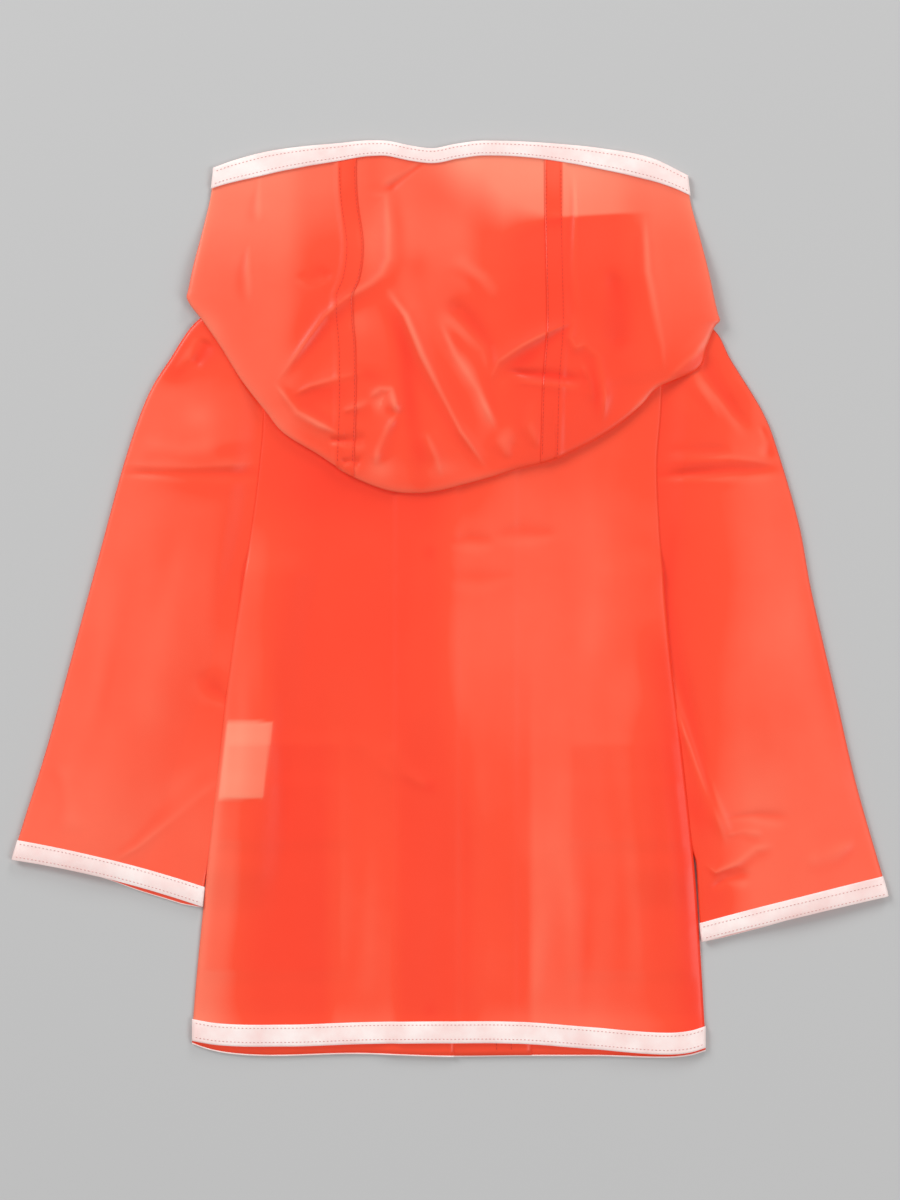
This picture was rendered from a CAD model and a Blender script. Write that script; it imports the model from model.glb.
"""A child's hooded rain jacket of translucent plastic cloth, laid face down, hood folded back."""

import logging
import math
from dataclasses import dataclass
from enum import Enum
from typing import Callable, Sequence

import bpy
import numpy as np
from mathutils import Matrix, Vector


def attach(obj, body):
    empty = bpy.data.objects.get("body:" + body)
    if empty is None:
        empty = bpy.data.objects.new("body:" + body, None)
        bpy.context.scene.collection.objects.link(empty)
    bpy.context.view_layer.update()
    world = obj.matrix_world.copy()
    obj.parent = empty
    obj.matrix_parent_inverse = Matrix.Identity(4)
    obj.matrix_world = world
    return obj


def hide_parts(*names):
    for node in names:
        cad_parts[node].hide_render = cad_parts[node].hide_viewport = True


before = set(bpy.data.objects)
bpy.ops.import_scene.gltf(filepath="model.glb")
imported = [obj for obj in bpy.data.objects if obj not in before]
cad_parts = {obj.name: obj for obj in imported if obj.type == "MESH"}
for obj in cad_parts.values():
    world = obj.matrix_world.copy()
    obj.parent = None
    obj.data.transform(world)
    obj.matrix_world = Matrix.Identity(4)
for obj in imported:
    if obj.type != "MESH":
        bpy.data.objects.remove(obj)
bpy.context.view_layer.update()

LOG = logging.getLogger("rain_jacket")
MM = 0.001
Array = np.ndarray
Line = tuple[tuple[float, float], ...]
Limits = tuple[float | None, float | None]
Height = Callable[[Array, Array], Array]


# ---------------------------------------------------------------- shader tools


class Shade:
    """A shader socket that takes part in arithmetic."""

    def __init__(self, graph: "Graph", socket: bpy.types.NodeSocket) -> None:
        """Wrap one output socket of a graph."""
        self.graph = graph
        self.socket = socket

    def _math(self, operation: str, first: object, second: object) -> "Shade":
        """Add a Math node for one operation on two values."""
        return self.graph.node("ShaderNodeMath", {"operation": operation}, {0: first, 1: second})

    def __add__(self, other: object) -> "Shade":
        """Return self plus other."""
        return self._math("ADD", self, other)

    __radd__ = __add__

    def __sub__(self, other: object) -> "Shade":
        """Return self minus other."""
        return self._math("SUBTRACT", self, other)

    def __rsub__(self, other: object) -> "Shade":
        """Return other minus self."""
        return self._math("SUBTRACT", other, self)

    def __mul__(self, other: object) -> "Shade":
        """Return self times other."""
        return self._math("MULTIPLY", self, other)

    __rmul__ = __mul__

    def clamp(self) -> "Shade":
        """Return the value held between 0 and 1."""
        return self.graph.node("ShaderNodeClamp", {}, {"Value": self})


class Graph:
    """A material's node tree."""

    def __init__(self, name: str) -> None:
        """Start a material with an empty tree."""
        self.material = bpy.data.materials.new(name)
        self.material.use_nodes = True
        self.tree = self.material.node_tree
        self.tree.nodes.clear()

    def node(self, kind: str, settings: dict, inputs: dict, output: object = 0) -> Shade:
        """Add a node.

        Args:
            kind: the node's type name.
            settings: its properties, set before its sockets.
            inputs: values or links, by socket name or index.
            output: which output to return.

        Returns:
            The chosen output.
        """
        made = self.tree.nodes.new(kind)
        for key, value in settings.items():
            setattr(made, key, value)
        for key, value in inputs.items():
            if isinstance(value, Shade):
                self.tree.links.new(value.socket, made.inputs[key])
            else:
                made.inputs[key].default_value = value
        return Shade(self, made.outputs[output] if len(made.outputs) else None)

    def position(self) -> Shade:
        """Return the object coordinates, in metres."""
        return self.node("ShaderNodeTexCoord", {}, {}, "Object")

    def noise(self, where: Shade, scale: float, detail: float = 3.0) -> Shade:
        """Return a noise value at a scale per metre."""
        return self.node("ShaderNodeTexNoise", {}, {"Vector": where, "Scale": scale, "Detail": detail})

    def bands(self, direction: str, scale: float) -> Shade:
        """Return even waves across the X or Y axis at a scale per metre."""
        settings = {"bands_direction": direction}
        return self.node("ShaderNodeTexWave", settings, {"Vector": self.position(), "Scale": scale}, "Fac")

    def stretched(self, where: Shade, by: tuple[float, float, float]) -> Shade:
        """Return coordinates multiplied by a vector."""
        return self.node("ShaderNodeVectorMath", {"operation": "MULTIPLY"}, {0: where, 1: by})

    def attribute(self, name: str) -> Shade:
        """Return a value that a mesh carries at its points."""
        return self.node("ShaderNodeAttribute", {"attribute_name": name}, {}, "Fac")

    def blend(self, factor: object, first: object, second: object) -> Shade:
        """Return a mix of two colours by a factor."""
        return self.node("ShaderNodeMix", {"data_type": "RGBA"}, {0: factor, 6: first, 7: second}, 2)

    def shaded(self, value: Shade, colour: tuple, share: float) -> Shade:
        """Return a colour that falls to a share of itself where a value is high."""
        return self.blend(value, paint(*colour), paint(*[channel * share for channel in colour]))

    def bump(self, height: Shade, distance: float, strength: float) -> Shade:
        """Return a normal bent by a height."""
        inputs = {"Height": height, "Distance": distance, "Strength": strength}
        return self.node("ShaderNodeBump", {}, inputs, "Normal")

    def surface(self, inputs: dict) -> bpy.types.Material:
        """Close the tree with a Principled surface.

        Args:
            inputs: the surface's values and links.

        Returns:
            The finished material.
        """
        shader = self.node("ShaderNodeBsdfPrincipled", {}, inputs)
        self.node("ShaderNodeOutputMaterial", {}, {"Surface": shader})
        return self.material


def paint(red: float, green: float, blue: float) -> tuple[float, float, float, float]:
    """Return a linear colour.

    Args:
        red: screen value of 0 to 255.
        green: screen value of 0 to 255.
        blue: screen value of 0 to 255.

    Returns:
        Red, green, blue and a full alpha, linear.
    """
    shares = (value / 255 for value in (red, green, blue))
    return (*(v / 12.92 if v <= 0.04045 else ((v + 0.055) / 1.055) ** 2.4 for v in shares), 1.0)


@dataclass(frozen=True)
class PlasticCloth:
    """Glossy translucent plastic cloth in a glowing coral."""

    name: str = "plastic_cloth"
    body: tuple = (255, 78, 46)
    deep: tuple = (252, 54, 30)
    pale: tuple = (255, 148, 118)
    cover: float = 0.93
    gloss: float = 0.4
    glow: float = 0.08

    def make(self) -> bpy.types.Material:
        """Build the cloth's material.

        Returns:
            The material.
        """
        g = Graph(self.name)
        where = g.position()
        tone = g.attribute("tone")
        mottle = g.noise(where, 14.0, 4.0) - 0.5
        streak = g.noise(g.stretched(where, (26.0, 3.0, 1.0)), 1.0, 3.0) - 0.5
        value = tone + mottle * 0.2 + streak * 0.12
        light = g.blend(value.clamp(), paint(*self.body), paint(*self.pale))
        colour = g.blend((value * -1.0).clamp(), light, paint(*self.deep))
        grain = g.noise(where, 1900.0, 2.0)
        ripple = g.noise(where, 60.0, 3.0)
        height = grain * 0.12 + ripple * 0.9
        rough = self.gloss + (g.noise(where, 38.0, 4.0) - 0.5) * 0.16 + (grain - 0.5) * 0.06
        return g.surface({
            "Base Color": colour,
            "Roughness": rough,
            "Alpha": self.cover,
            "IOR": 1.45,
            "Coat Weight": 0.06,
            "Coat Roughness": 0.22,
            "Emission Color": colour,
            "Emission Strength": self.glow,
            "Normal": g.bump(height, 0.0006, 0.55),
        })


@dataclass(frozen=True)
class WovenTape:
    """Matte pale tape of fine woven thread."""

    name: str = "woven_tape"
    light: tuple = (255, 240, 236)
    shade: tuple = (248, 214, 209)

    def make(self) -> bpy.types.Material:
        """Build the tape's material.

        Returns:
            The material.
        """
        g = Graph(self.name)
        weave = g.bands("X", 420.0) * g.bands("Y", 420.0)
        cloud = g.noise(g.position(), 45.0, 4.0)
        clean = (cloud * 2.4 - 0.75 + weave * 0.2).clamp()
        colour = g.blend(clean, paint(*self.shade), paint(*self.light))
        return g.surface({
            "Base Color": colour,
            "Roughness": 0.62 + (cloud - 0.5) * 0.2,
            "Sheen Weight": 0.15,
            "Emission Color": colour,
            "Emission Strength": 0.1,
            "Normal": g.bump(weave + cloud * 0.8, 0.0003, 0.5),
        })


@dataclass(frozen=True)
class SewingThread:
    """Twisted sewing thread."""

    name: str
    colour: tuple

    def make(self) -> bpy.types.Material:
        """Build the thread's material.

        Returns:
            The material.
        """
        g = Graph(self.name)
        twist = g.noise(g.position(), 2600.0, 2.0)
        return g.surface({
            "Base Color": g.shaded(twist, self.colour, 0.86),
            "Roughness": 0.6 + twist * 0.1,
            "Normal": g.bump(twist, 0.0002, 0.4),
        })


@dataclass(frozen=True)
class MouldedSnap:
    """Glossy moulded plastic of the press fasteners."""

    name: str = "moulded_snap"
    colour: tuple = (246, 62, 42)

    def make(self) -> bpy.types.Material:
        """Build the snap's material.

        Returns:
            The material.
        """
        g = Graph(self.name)
        fine = g.noise(g.position(), 900.0, 3.0)
        return g.surface({
            "Base Color": g.shaded(fine, self.colour, 0.93),
            "Roughness": 0.26 + fine * 0.1,
            "Coat Weight": 0.2,
            "Normal": g.bump(fine, 0.0001, 0.3),
        })


@dataclass(frozen=True)
class LabelSatin:
    """Soft white satin of the care label."""

    name: str = "label_satin"
    colour: tuple = (255, 250, 244)

    def make(self) -> bpy.types.Material:
        """Build the label's material.

        Returns:
            The material.
        """
        g = Graph(self.name)
        rib = g.bands("Y", 600.0)
        return g.surface({
            "Base Color": g.shaded(rib, self.colour, 0.95),
            "Roughness": 0.5 + rib * 0.1,
            "Normal": g.bump(rib, 0.0002, 0.4),
        })


@dataclass(frozen=True)
class PaleFloor:
    """Plain pale studio floor."""

    name: str = "pale_floor"
    colour: tuple = (196, 196, 196)

    def make(self) -> bpy.types.Material:
        """Build the floor's material.

        Returns:
            The material.
        """
        g = Graph(self.name)
        cloud = g.noise(g.position(), 3.0, 2.0)
        return g.surface({"Base Color": g.shaded(cloud, self.colour, 0.995), "Roughness": 0.9})


class Finishes:
    """Every material, made once."""

    def __init__(self) -> None:
        """Make the materials."""
        self.cloth = PlasticCloth().make()
        self.hood_cloth = PlasticCloth(name="hood_cloth", cover=0.9).make()
        self.tape = WovenTape().make()
        self.pale_thread = SewingThread("pale_thread", (232, 178, 172)).make()
        self.red_thread = SewingThread("red_thread", (238, 62, 40)).make()
        self.snap = MouldedSnap().make()
        self.label = LabelSatin().make()


# ---------------------------------------------------------------- shape tools


def smooth(value: Array, low: float, high: float) -> Array:
    """Return 0 below low, 1 above high and a soft ramp between."""
    t = np.clip((np.asarray(value, float) - low) / (high - low), 0.0, 1.0)
    return t * t * (3.0 - 2.0 * t)


def band(value: Array, low: float, high: float, soft: float) -> Array:
    """Return 1 between low and high, softly 0 outside."""
    return smooth(value, low - soft, low) * (1.0 - smooth(value, high, high + soft))


def points_at(x: Array, y: Array, z: Array) -> Array:
    """Return points from their coordinates."""
    return np.stack([x, y, z], axis=-1)


def shares(rows: int, columns: int) -> tuple[Array, Array]:
    """Return shares from 0 to 1 for each row, and for each column."""
    return np.linspace(0, 1, rows)[:, None], np.linspace(0, 1, columns)[None, :]


class Edge:
    """A smooth line through a table of places, read one way."""

    def __init__(self, *places: tuple[float, float]) -> None:
        """Keep the places and work out the slope at each.

        Args:
            *places: pairs of a place and its value, in any order.
        """
        table = np.array(sorted(places), float)
        self.at, self.value = table[:, 0], table[:, 1]
        step = np.diff(self.value) / np.diff(self.at)
        inner = np.where(step[:-1] * step[1:] > 0, (step[:-1] + step[1:]) / 2, 0.0)
        self.slope = np.concatenate([step[:1], inner, step[-1:]])

    def __call__(self, where: Array) -> Array:
        """Return the values at some places.

        Args:
            where: the places, held to the table's ends.

        Returns:
            A value for each place.
        """
        q = np.clip(np.asarray(where, float), self.at[0], self.at[-1])
        i = np.clip(np.searchsorted(self.at, q) - 1, 0, len(self.at) - 2)
        wide = self.at[i + 1] - self.at[i]
        t = (q - self.at[i]) / wide
        ahead = 3 * t**2 - 2 * t**3
        bends = (t**3 - 2 * t**2 + t) * self.slope[i] + (t**3 - t**2) * self.slope[i + 1]
        return (1 - ahead) * self.value[i] + ahead * self.value[i + 1] + wide * bends


class FoldKind(Enum):
    """How a fold lies."""

    RIDGE = "ridge"
    CREASE = "crease"
    STEP = "step"


RIDGE, CREASE, STEP = FoldKind


@dataclass(frozen=True)
class Fold:
    """One fold or dent along a line, in mm.

    A ridge is soft, a crease has a sharp top, and a step is a crease with one steep side.
    The shadow's sign says on which side of the line the cloth is pressed down.
    """

    line: Line
    rise: float
    width: float
    kind: FoldKind = RIDGE
    shadow: float = 1.0

    def reach(self, x: Array, y: Array) -> tuple[Array, Array, Array]:
        """Return how points lie beside the fold.

        Args:
            x: places across the jacket.
            y: places along the jacket.

        Returns:
            Distance off the line in widths, signed distance in mm, and strength from 0 to 1.
        """
        best = np.full(np.shape(x), 1e9)
        signed = np.zeros(np.shape(x))
        run = np.zeros(np.shape(x))
        lengths = [math.dist(a, b) for a, b in zip(self.line, self.line[1:])]
        total, done = sum(lengths), 0.0
        for (ax, ay), (bx, by), long in zip(self.line, self.line[1:], lengths):
            dx, dy = (bx - ax) / long, (by - ay) / long
            along = (x - ax) * dx + (y - ay) * dy
            held = np.clip(along, 0.0, long)
            off = np.hypot(x - ax - held * dx, y - ay - held * dy)
            side = (x - ax) * dy - (y - ay) * dx
            nearer = off < best
            best = np.where(nearer, off, best)
            signed = np.where(nearer, side, signed)
            run = np.where(nearer, (done + held) / total, run)
            done += long
        swell = 0.75 + 0.25 * np.sin(run * 7.0 + self.rise * 3.0)
        taper = smooth(run, -0.02, 0.22) * (1.0 - smooth(run, 0.78, 1.02))
        width = self.width * (0.85 + 0.3 * np.sin(run * 5.0 + self.width))
        return best / np.maximum(width, 1e-3), signed, swell * np.clip(taper, 0.0, 1.0)

    def height(self, x: Array, y: Array) -> Array:
        """Return the fold's height over points, in mm.

        Args:
            x: places across the jacket, in mm.
            y: places along the jacket, in mm.

        Returns:
            The height in mm.
        """
        q, signed, strength = self.reach(x, y)
        if self.kind is RIDGE:
            shape = np.exp(-q * q * 1.2)
        elif self.kind is CREASE:
            shape = np.exp(-np.sqrt(q * q + 0.1) * 1.7) * 1.3
        else:
            steep = np.where(signed > 0, 0.75, 1.5)
            shape = np.exp(-np.sqrt((q / steep) ** 2 + 0.1) * 1.6) * 1.3
        return self.rise * strength * shape

    def shade(self, x: Array, y: Array) -> Array:
        """Return how the fold pales where it stands clear and deepens where it is pressed down.

        Args:
            x: places across the jacket, in mm.
            y: places along the jacket, in mm.

        Returns:
            Pale above 0, deep below 0.
        """
        q, signed, strength = self.reach(x, y)
        side = np.where(signed * self.shadow > 0, 1.0, -0.15)
        sharp = 1.4 if self.kind is RIDGE else (self.width / 2.1) ** 2
        crest = np.exp(-q * q * sharp)
        pressed = np.exp(-((q - 1.25) ** 2) * 1.6) * side
        return self.rise * strength * (0.15 * crest - 0.1 * pressed)


@dataclass(frozen=True)
class Patch:
    """A soft oval where the layers lie closer together or stand apart, in mm."""

    x: float
    y: float
    wide: float
    high: float
    tone: float
    turn: float = 0.0

    def shade(self, x: Array, y: Array) -> Array:
        """Return the patch's tone over points.

        Args:
            x: places across the jacket, in mm.
            y: places along the jacket, in mm.

        Returns:
            Pale above 0, deep below 0.
        """
        c, n = math.cos(math.radians(self.turn)), math.sin(math.radians(self.turn))
        a = ((x - self.x) * c + (y - self.y) * n) / self.wide
        b = (-(x - self.x) * n + (y - self.y) * c) / self.high
        return self.tone * np.exp(-(a * a + b * b) * 1.4)


def marks(items: Sequence, x: Array, y: Array) -> Array:
    """Return the summed tone of folds and patches."""
    return sum((item.shade(x, y) for item in items), np.zeros(np.shape(x)))


def fold_height(folds: Sequence[Fold], x: Array, y: Array) -> Array:
    """Return the sum of several folds' heights."""
    return sum((fold.height(x, y) for fold in folds), np.zeros(np.shape(x)))


def ripple(x: Array, y: Array, seed: float) -> Array:
    """Return a small slow unevenness, about 1 mm high at most, from a few crossed waves.

    Args:
        x: places across the jacket, in mm.
        y: places along the jacket, in mm.
        seed: shifts the waves.

    Returns:
        The height in mm.
    """
    first = np.sin(x * 0.043 + y * 0.017 + seed) * np.sin(y * 0.029 - x * 0.011 + seed * 1.7)
    second = np.sin(x * 0.021 - y * 0.038 + seed * 2.3) * np.sin(x * 0.067 + seed)
    return 0.5 * first + 0.35 * second


def lay_mesh(name: str, points: Array, faces: Sequence, tone: Array | None) -> bpy.types.Object:
    """Make an object from points in mm.

    Args:
        name: the piece's name.
        points: corner points, one row each.
        faces: corner numbers of each face.
        tone: a light or dark value for each point, or None.

    Returns:
        The linked object.
    """
    mesh = bpy.data.meshes.new(name)
    mesh.from_pydata((np.asarray(points, float) * MM).tolist(), [], faces)
    mesh.polygons.foreach_set("use_smooth", [True] * len(mesh.polygons))
    if tone is not None:
        store = mesh.attributes.new("tone", "FLOAT", "POINT")
        store.data.foreach_set("value", np.asarray(tone, np.float32).ravel())
    mesh.update()
    made = bpy.data.objects.new(name, mesh)
    bpy.context.scene.collection.objects.link(made)
    return made


def grid_faces(rows: int, columns: int, closed: bool = False) -> list[tuple[int, int, int, int]]:
    """Return the quads of a grid.

    Args:
        rows: rows of points.
        columns: points in a row.
        closed: whether the columns join round.

    Returns:
        Point numbers of each quad.
    """
    around = [(c, (c + 1) % columns) for c in range(columns if closed else columns - 1)]
    starts = range(0, (rows - 1) * columns, columns)
    return [(r + c, r + d, r + columns + d, r + columns + c) for r in starts for c, d in around]


@dataclass
class Piece:
    """A named piece that stands for CAD nodes."""

    name: str
    nodes: tuple[str, ...]
    slot: str
    material: bpy.types.Material

    def dress(self, made: bpy.types.Object) -> bpy.types.Object:
        """Give an object this piece's finish, slot and place on the body.

        Args:
            made: the object, in the CAD's frame.

        Returns:
            The same object.
        """
        made.data.materials.append(self.material)
        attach(made, "root")
        if self.nodes:
            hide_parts(*self.nodes)
        size = made.dimensions / MM
        LOG.info("%s: %.0f by %.0f by %.1f mm", self.name, size.x, size.y, size.z)
        return made

    def sheet(self, grid: Array, tone: Array | None = None, thick: float = 0.4,
              closed: bool = False) -> bpy.types.Object:
        """Build the piece as a thin shell over a grid.

        Args:
            grid: points by row and column, in mm.
            tone: a light or dark value for each point.
            thick: the shell's thickness in mm.
            closed: whether the columns join round.

        Returns:
            The dressed object.
        """
        rows, columns = grid.shape[:2]
        tones = np.zeros(rows * columns) if tone is None else tone
        made = lay_mesh(self.name, grid.reshape(-1, 3), grid_faces(rows, columns, closed), tones)
        shell = made.modifiers.new("thickness", "SOLIDIFY")
        shell.thickness = thick * MM
        shell.offset = 0.0
        return self.dress(made)


@dataclass
class StitchRow:
    """Stitches sunk along a line on cloth."""

    pitch: float = 2.9
    long: float = 1.6
    thick: float = 0.32
    sides: int = 5

    def shapes(self, line: Array, lift: float) -> tuple[list, list]:
        """Return the points and faces of a row of stitches.

        Args:
            line: points of the line in mm.
            lift: how far the thread stands off the line.

        Returns:
            Points, and faces by point number.
        """
        step = np.linalg.norm(np.diff(line, axis=0), axis=1)
        run = np.concatenate([[0.0], np.cumsum(step)])
        points, faces = [], []
        for start in np.arange(self.pitch, run[-1] - self.pitch, self.pitch):
            ends = [np.array([np.interp(s, run, line[:, k]) for k in range(3)])
                    for s in (start, start + self.long)]
            points_here, faces_here = self._one(ends[0], ends[1], lift, len(points))
            points += points_here
            faces += faces_here
        return points, faces

    def _one(self, a: Array, b: Array, lift: float, base: int) -> tuple[list, list]:
        """Return one stitch, as a short tapered thread.

        Args:
            a: where it comes up.
            b: where it goes down.
            lift: how far the thread stands off the cloth.
            base: number of its first point.

        Returns:
            Points, and faces by point number.
        """
        way = (b - a) / max(np.linalg.norm(b - a), 1e-9)
        across = np.array([-way[1], way[0], 0.0])
        up = np.array([0.0, 0.0, 1.0])
        points = []
        for share, size, high in ((0.0, 0.35, -0.1), (0.3, 1.0, 0.1), (0.7, 1.0, 0.1), (1.0, 0.35, -0.1)):
            centre = a + (b - a) * share + up * (lift + high * self.thick)
            for k in range(self.sides):
                turn = k * math.tau / self.sides
                points.append(centre + (across * math.cos(turn) + up * math.sin(turn) * 0.7)
                              * self.thick * size)
        faces = [tuple(base + i for i in face) for face in grid_faces(4, self.sides, True)]
        faces.append(tuple(base + k for k in reversed(range(self.sides))))
        faces.append(tuple(base + 3 * self.sides + k for k in range(self.sides)))
        return points, faces

    def sew(self, piece: Piece, lines: Sequence[Array], lift: float) -> bpy.types.Object:
        """Build several rows as one piece.

        Args:
            piece: the piece that they make up.
            lines: points of each row, in mm.
            lift: how far the thread stands off the lines.

        Returns:
            The dressed object.
        """
        points, faces = [], []
        for line in lines:
            more, more_faces = self.shapes(np.asarray(line, float), lift)
            faces += [tuple(i + len(points) for i in face) for face in more_faces]
            points += more
        return piece.dress(lay_mesh(piece.name, np.array(points), faces, None))


# ---------------------------------------------------------------- the body


@dataclass
class BodyShape:
    """Outline of the body and how high each of its layers lies, in mm."""

    left: Edge = Edge(
        (-345, -194), (-315, -192.5), (-213, -183), (-116, -172.5), (-37, -163), (38, -151),
        (100, -143), (141, -140), (240, -144))
    right: Edge = Edge(
        (-345, 192), (-315, 190.5), (-213, 184), (-116, 174), (-37, 164.5), (38, 158),
        (100, 155), (141, 158), (240, 162))
    shoulders: Edge = Edge(
        (-145, 222), (-88, 236), (-60, 222), (4, 212), (68, 222), (96, 236), (163, 220))
    back_hem: Edge = Edge(
        (-194, -329.8), (-174, -333), (-125, -334), (-60, -332), (3, -331.5), (55, -332), (107, -336),
        (163, -340), (180, -338.5), (192, -335))
    front_hem: Edge = Edge(
        (-194, -331.5), (-186, -334.6), (-174, -337.8), (-160, -339.8), (-133, -341), (-73, -339.5),
        (3, -341.5), (58, -341), (107, -341), (159, -342.3), (180, -340.5), (192, -337))
    pitch: float = 0.9
    sleeve_rise: float = 2.9
    pocket_left: float = -84.0
    pocket_right: float = 92.0
    underlap: float = -38.0
    overlap: float = 3.0
    facing: float = 47.0
    pocket_low: float = -276.0
    pocket_high: float = -148.0
    flap_low: float = -178.0
    flap_high: float = -109.0
    label_in: float = 4.0
    label_wide: float = 31.0
    label_low: float = -148.0
    label_high: float = -92.0

    def from_side(self, x: Array, y: Array) -> Array:
        """Return the distance in from the nearer side edge."""
        return np.minimum(x - self.left(y), self.right(y) - x)

    def pocket_at(self, x: Array, y: Array, low: float, high: float, soft: float = 3.0) -> Array:
        """Return 1 over the pockets' width between two heights.

        Args:
            x: places across the jacket, in mm.
            y: places along the jacket, in mm.
            low: the lower height.
            high: the upper height.
            soft: how wide the edges' ramps are.

        Returns:
            A share from 0 to 1.
        """
        side = self.from_side(x, y)
        inner = np.where(x < 0, self.pocket_left - x, x - self.pocket_right)
        return smooth(side, 3, 8) * smooth(inner, -soft, 1) * band(y, low, high, soft)

    def under_front(self, x: Array, y: Array) -> Array:
        """Return how high the fronts lie over sleeves, pockets, flaps and hem tape.

        Args:
            x: places across the jacket, in mm.
            y: places along the jacket, in mm.

        Returns:
            The height in mm.
        """
        beside = 1.0 - smooth(self.from_side(x, y), 34, 58)
        sleeve = beside * smooth(y, -236, -198) * (1.0 - smooth(y, 16, 42))
        pocket = self.pocket_at(x, y, self.pocket_low, self.pocket_high + 8, 12.0) * 0.6
        flap = self.pocket_at(x, y, self.flap_low, self.flap_high, 12.0) * 0.6
        hem = 1.0 - smooth(y, -322, -310)
        return 0.3 + self.sleeve_rise * sleeve + self.pitch * (pocket + flap + hem)

    def laps(self, x: Array) -> Array:
        """Return how many extra front layers lie at a place across."""
        return band(x, self.underlap, self.overlap, 6) + band(x, self.underlap, self.facing, 6)

    def label_at(self, x: Array, y: Array) -> Array:
        """Return 1 over the care label."""
        side = x - self.left(y) - self.label_in
        return band(side, 0, self.label_wide + 1, 2) * band(y, self.label_low, self.label_high, 2)

    def back_lift(self, x: Array, y: Array) -> Array:
        """Return how high the back panel lies before its own folds.

        Args:
            x: places across the jacket, in mm.
            y: places along the jacket, in mm.

        Returns:
            The height in mm.
        """
        lift = self.under_front(x, y) + self.pitch * (1.1 + self.laps(x) * 0.8) + 0.5 * self.label_at(x, y)
        edge = np.exp(-np.maximum(self.from_side(x, y), 0.0) / 2.8)
        return lift + 0.6 - edge * (0.7 + 1.15 * (1.0 - smooth(y, -4, 26)))

    def grid(self, hem: Edge, height: Height, across: Limits, size: tuple[int, int]) -> Array:
        """Return a grid of points over part of the body.

        Args:
            hem: the lower edge.
            height: gives the height at x and y.
            across: left and right limit, where None is the side edge.
            size: rows and columns.

        Returns:
            Points by row and column.
        """
        v, u = shares(*size)
        x, y = np.zeros(size), np.full(size, -50.0)
        for _ in range(6):
            low = self.left(y) if across[0] is None else across[0]
            high = self.right(y) if across[1] is None else across[1]
            x = low + (high - low) * u + np.zeros(size)
            y = hem(x) + (self.shoulders(x) - hem(x)) * v
        return points_at(x, y, height(x, y))


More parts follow.
